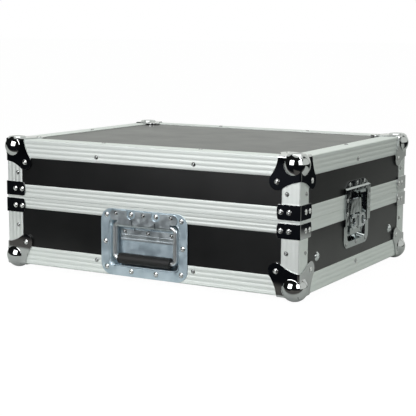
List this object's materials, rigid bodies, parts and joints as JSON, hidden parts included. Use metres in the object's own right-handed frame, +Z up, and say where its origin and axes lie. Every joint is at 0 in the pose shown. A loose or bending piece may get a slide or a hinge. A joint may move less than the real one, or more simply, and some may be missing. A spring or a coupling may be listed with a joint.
{
  "type": "mixer rack case",
  "caption": "Low flight case with black panels in ribbed aluminium edges, ball corners, recessed sprung handle, recessed butterfly latches, lift-off lid and rack rails for a mixer.",
  "frame": {"origin": "on the ground, midway between the four lower ball corners, below the middle of the case", "axes": "+X to the right seen from the handle side, +Y to the back, +Z up; the handle side is -Y and the latches are on the -X and +X sides"},
  "size_m": [0.557, 0.4488, 0.2215],
  "materials": {
    "panel_laminate": "black laminated birch plywood, fine leather-like grain, satin",
    "edge_aluminium": "mill finish extrusion with fine lengthwise grooves",
    "chromed_steel": "bright chromed pressed steel",
    "rivet_steel": "polished nickel-plated rivet heads",
    "zinc_plate": "bluish zinc-plated pressed steel",
    "zinc_bright": "bright zinc-plated steel",
    "latch_zinc": "zinc-plated pressed steel, satin",
    "spring_steel": "oiled spring wire",
    "grip_rubber": "black rubber, matt",
    "rail_black": "black powder coat, fine texture",
    "spacer_ply": "bare birch plywood",
    "bolt_zinc": "bright zinc-plated bolts and nuts",
    "foam": "dark grey open-cell foam"
  },
  "bodies": {
    "base": {"floor_panel": "panel_laminate", "front_panel": "panel_laminate", "back_panel": "panel_laminate", "left_panel": "panel_laminate", "right_panel": "panel_laminate", "base_edge_front": "edge_aluminium", "base_edge_back": "edge_aluminium", "base_edge_left": "edge_aluminium", "base_edge_right": "edge_aluminium", "base_posts": "edge_aluminium", "base_rim_front": "edge_aluminium", "base_rim_back": "edge_aluminium", "base_rim_left": "edge_aluminium", "base_rim_right": "edge_aluminium", "base_ball_corners": "chromed_steel", "base_corner_brackets": "chromed_steel", "base_rivets": "rivet_steel", "handle_dish": "zinc_plate", "handle_hinge_plate": "zinc_plate", "handle_stop_strip": "zinc_plate", "handle_spring": "spring_steel", "rack_rail_left": "rail_black", "rack_rail_right": "rail_black", "rail_spacers": "spacer_ply", "rail_bolts": "bolt_zinc", "rail_nuts": "bolt_zinc", "floor_foam": "foam", "left_latch_dish": "latch_zinc", "right_latch_dish": "latch_zinc"},
    "lid": {"lid_top_panel": "panel_laminate", "lid_front_panel": "panel_laminate", "lid_back_panel": "panel_laminate", "lid_left_panel": "panel_laminate", "lid_right_panel": "panel_laminate", "lid_edge_front": "edge_aluminium", "lid_edge_back": "edge_aluminium", "lid_edge_left": "edge_aluminium", "lid_edge_right": "edge_aluminium", "lid_posts": "edge_aluminium", "lid_rim_front": "edge_aluminium", "lid_rim_back": "edge_aluminium", "lid_rim_left": "edge_aluminium", "lid_rim_right": "edge_aluminium", "lid_ball_corners": "chromed_steel", "lid_corner_brackets": "chromed_steel", "lid_rivets": "rivet_steel", "lid_foam": "foam", "left_latch_keeper": "latch_zinc", "right_latch_keeper": "latch_zinc"},
    "handle": {"handle_bail": "zinc_bright", "handle_grip": "grip_rubber"},
    "left_key": {"left_latch_rotor": "zinc_bright"},
    "left_hook": {"left_latch_hook": "latch_zinc"},
    "left_wing_a": {"left_latch_wing_a": "zinc_bright"},
    "left_wing_b": {"left_latch_wing_b": "zinc_bright"},
    "right_key": {"right_latch_rotor": "zinc_bright"},
    "right_hook": {"right_latch_hook": "latch_zinc"},
    "right_wing_a": {"right_latch_wing_a": "zinc_bright"},
    "right_wing_b": {"right_latch_wing_b": "zinc_bright"}
  },
  "joints": [
    {"name": "lid_lift", "type": "slide", "parent": "base", "child": "lid", "axis": [0, 0, 1], "range_m": [0, 0.15]},
    {"name": "handle_swing", "type": "hinge", "parent": "base", "child": "handle", "pos_m": [0, -0.2126, 0.093], "axis": [-1, 0, 0], "range_deg": [0, 90], "stiffness_Nm_per_rad": 0.25, "springref_deg": -28.65},
    {"name": "left_key_turn", "type": "hinge", "parent": "base", "child": "left_key", "pos_m": [-0.268, 0, 0.0957], "axis": [-1, 0, 0], "range_deg": [0, 180]},
    {"name": "left_hook_slide", "type": "slide", "parent": "base", "child": "left_hook", "axis": [0, 0, 1], "range_m": [0, 0.008]},
    {"name": "left_wing_a_fold", "type": "hinge", "parent": "left_key", "child": "left_wing_a", "pos_m": [-0.2722, -0.003, 0.0957], "axis": [0, 0, -1], "range_deg": [0, 90]},
    {"name": "left_wing_b_fold", "type": "hinge", "parent": "left_key", "child": "left_wing_b", "pos_m": [-0.2722, 0.003, 0.0957], "axis": [0, 0, 1], "range_deg": [0, 90]},
    {"name": "right_key_turn", "type": "hinge", "parent": "base", "child": "right_key", "pos_m": [0.268, 0, 0.0957], "axis": [1, 0, 0], "range_deg": [0, 180]},
    {"name": "right_hook_slide", "type": "slide", "parent": "base", "child": "right_hook", "axis": [0, 0, 1], "range_m": [0, 0.008]},
    {"name": "right_wing_a_fold", "type": "hinge", "parent": "right_key", "child": "right_wing_a", "pos_m": [0.2722, 0.003, 0.0957], "axis": [0, 0, -1], "range_deg": [0, 90]},
    {"name": "right_wing_b_fold", "type": "hinge", "parent": "right_key", "child": "right_wing_b", "pos_m": [0.2722, -0.003, 0.0957], "axis": [0, 0, 1], "range_deg": [0, 90]}
  ],
  "couplings": [
    {"joint": "left_key_turn", "follows": "left_hook_slide", "rad_per_m": 392.69},
    {"joint": "right_key_turn", "follows": "right_hook_slide", "rad_per_m": 392.69}
  ]
}
